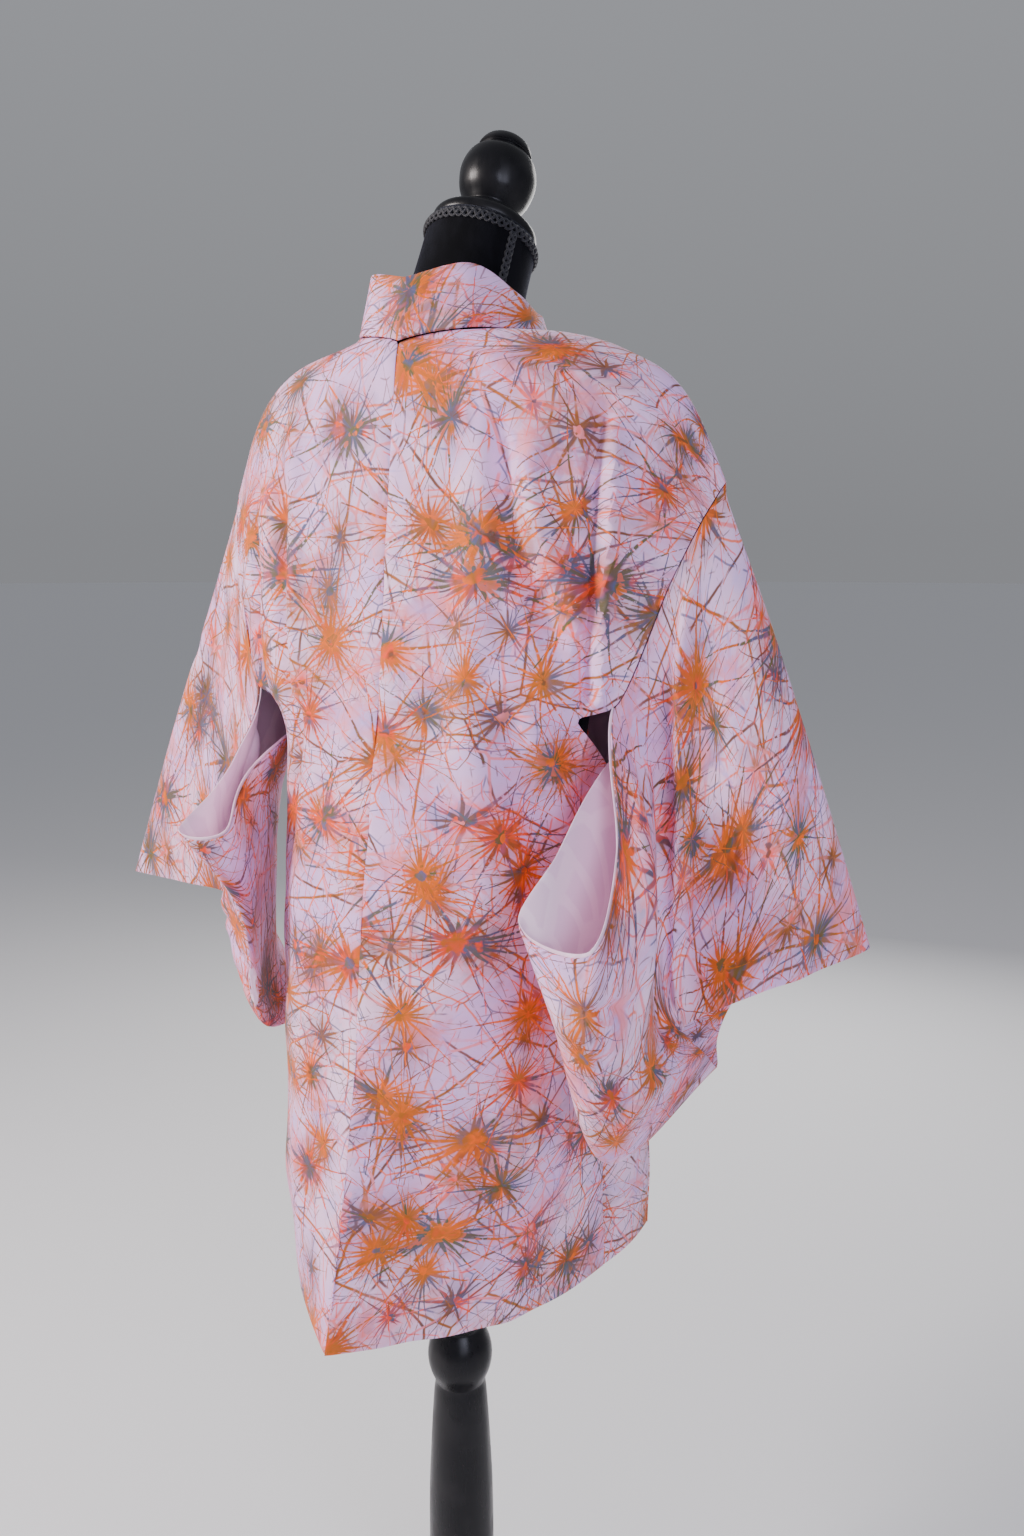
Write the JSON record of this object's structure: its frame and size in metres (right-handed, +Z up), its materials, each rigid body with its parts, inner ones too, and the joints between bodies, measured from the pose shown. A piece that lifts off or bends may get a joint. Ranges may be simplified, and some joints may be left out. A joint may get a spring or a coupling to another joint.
{
  "type": "haori jacket on a limbless dress form and stand",
  "caption": "Short wide-sleeved haori jacket worn open on a black velvet limbless dress form with a turned wooden stand.",
  "frame": {"origin": "centre of the round base's flat underside, on the floor", "axes": "+Z up along the column; -Y is the front of the jacket, +Y its back; +X is the wearer's left"},
  "size_m": [0.7439, 0.4865, 1.6228],
  "materials": {
    "haori_cloth": "printed pale lilac silk with orange, brown and slate-blue starbursts",
    "lining_silk": "pale figured silk lining with a soft sheen",
    "velvet": "black velvet",
    "braid": "black woven braid",
    "black_wood": "turned wood in satin black lacquer"
  },
  "bodies": {
    "root": {"body_left": "haori_cloth", "body_right": "haori_cloth", "gusset_left": "haori_cloth", "gusset_right": "haori_cloth", "sleeve_left": "haori_cloth", "sleeve_right": "haori_cloth", "sleeve_lining_left": "lining_silk", "sleeve_lining_right": "lining_silk", "collar": "haori_cloth", "form_torso": "velvet", "neck_braid": "braid", "neck_cap": "black_wood", "finial": "black_wood", "pole": "black_wood", "column": "black_wood", "base": "black_wood"}
  },
  "joints": []
}
